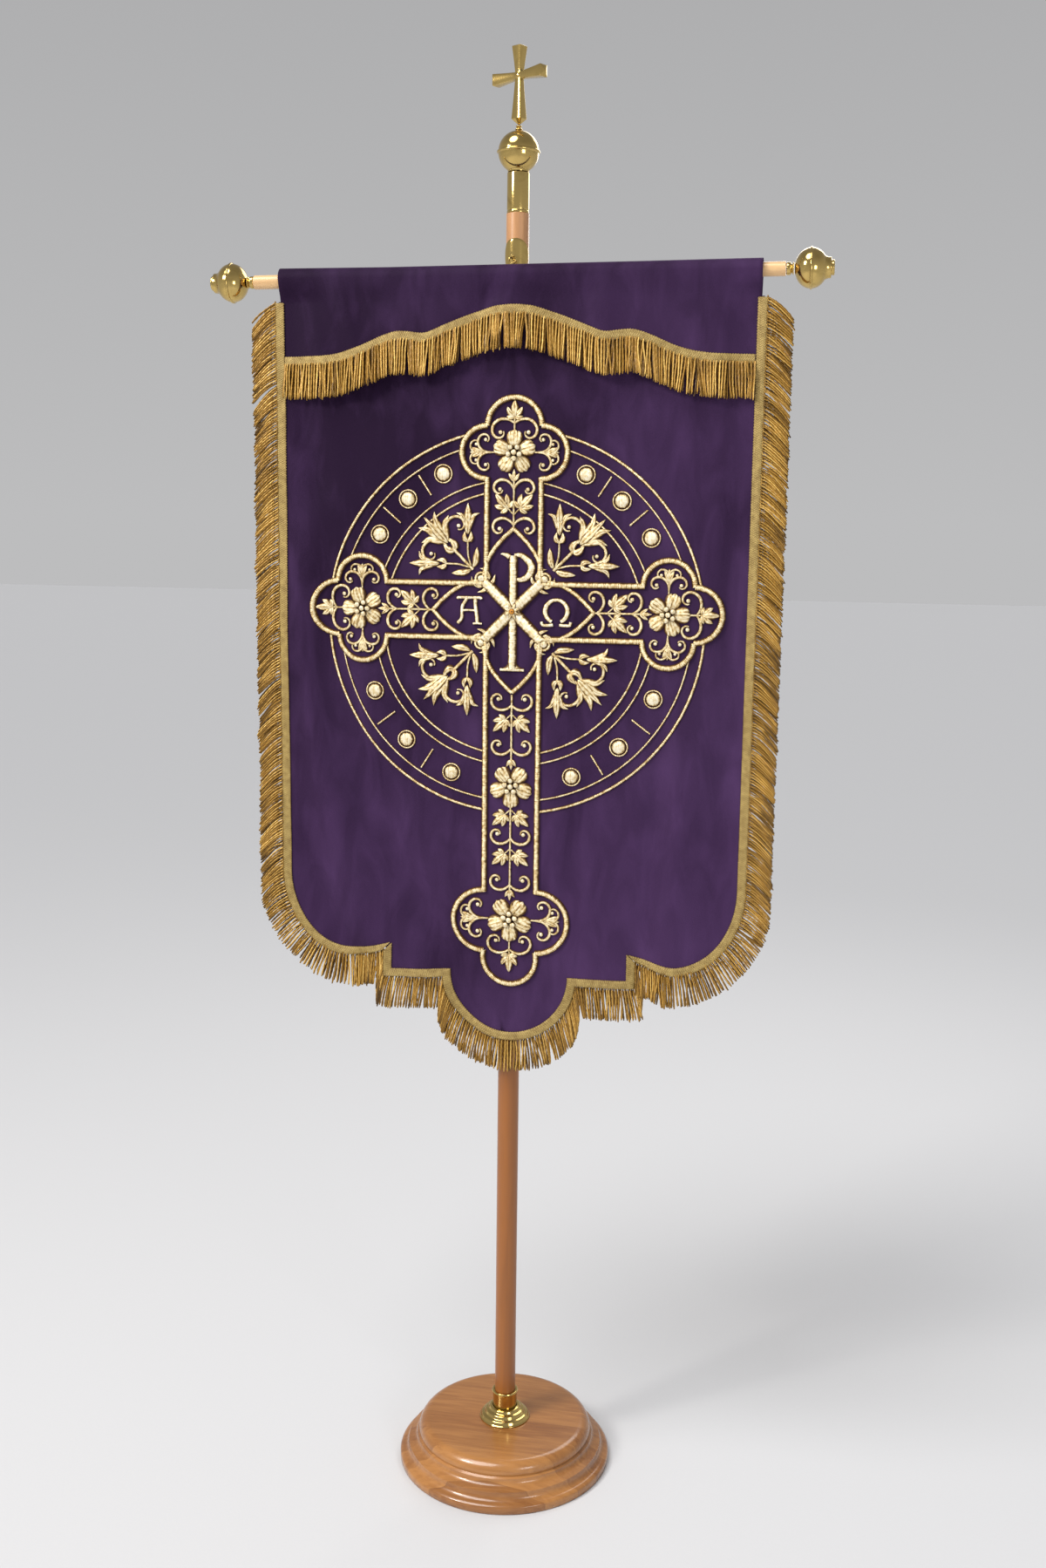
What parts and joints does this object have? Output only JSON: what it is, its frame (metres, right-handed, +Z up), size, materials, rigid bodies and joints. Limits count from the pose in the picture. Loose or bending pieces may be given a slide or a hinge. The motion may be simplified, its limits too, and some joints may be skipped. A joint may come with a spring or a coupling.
{
  "type": "church banner on a pole stand with crossbar",
  "caption": "Fringed velvet church banner with a valance, hung from a wooden crossbar with brass ball knobs on a pole stand with a round base, brass socket, globe and cross.",
  "frame": {"origin": "centre of the base's underside, on the floor", "axes": "+Z up the pole; X along the crossbar; the cloth faces -Y"},
  "size_m": [0.9562, 0.36, 2.3035],
  "materials": {
    "wood": "lacquered light brown, glued up from staves",
    "pole_wood": "satin lacquered, grain lengthwise",
    "brass": "polished and lacquered",
    "velvet": "violet cotton velvet",
    "gold_trim": "old gold twisted bullion and woven heading"
  },
  "bodies": {
    "root": {"base": "wood", "socket_rosette": "brass", "socket_tube": "brass", "pole": "pole_wood", "ferrule": "brass", "globe": "brass", "cross_collar": "brass", "cross": "brass", "bar_plate": "brass", "bar_hook": "brass", "bar_eye": "brass", "crossbar": "pole_wood", "bar_collar_left": "brass", "bar_collar_right": "brass", "knob_left": "brass", "knob_right": "brass", "panel": "velvet", "valance": "velvet", "fringe_left": "gold_trim", "fringe_bottom": "gold_trim", "fringe_right": "gold_trim", "fringe_valance": "gold_trim"}
  },
  "joints": []
}
